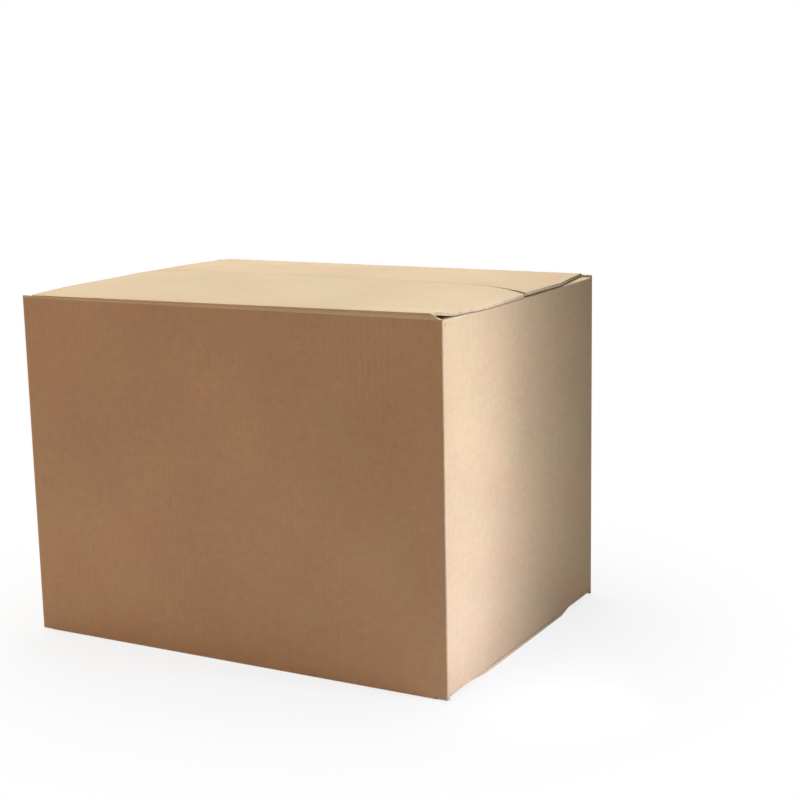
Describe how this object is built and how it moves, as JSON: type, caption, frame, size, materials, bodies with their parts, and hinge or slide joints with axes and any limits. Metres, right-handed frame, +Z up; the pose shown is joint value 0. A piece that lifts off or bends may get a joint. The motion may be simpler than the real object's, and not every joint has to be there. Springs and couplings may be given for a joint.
{
  "type": "closed cardboard box",
  "caption": "Closed rectangular shipping carton of folded corrugated board, its outer flaps meeting in a seam across the top and swinging open at their folds.",
  "frame": {"origin": "on the floor, under the middle of the box's outline", "axes": "+Z up, +X along the front from left to right, +Y from the front to the back"},
  "size_m": [0.452, 0.332, 0.3425],
  "materials": {
    "kraft_board": "matte"
  },
  "bodies": {
    "body": {"body": "kraft_board"},
    "front_flap": {"front_flap": "kraft_board"},
    "back_flap": {"back_flap": "kraft_board"}
  },
  "joints": [
    {"name": "front_flap_fold", "type": "hinge", "parent": "body", "child": "front_flap", "pos_m": [-0.214, -0.1654, 0.3344], "axis": [1, 0, 0.0096], "range_deg": [0, 240]},
    {"name": "back_flap_fold", "type": "hinge", "parent": "body", "child": "back_flap", "pos_m": [0, 0.1654, 0.3344], "axis": [-1, 0, 0], "range_deg": [0, 240]}
  ]
}
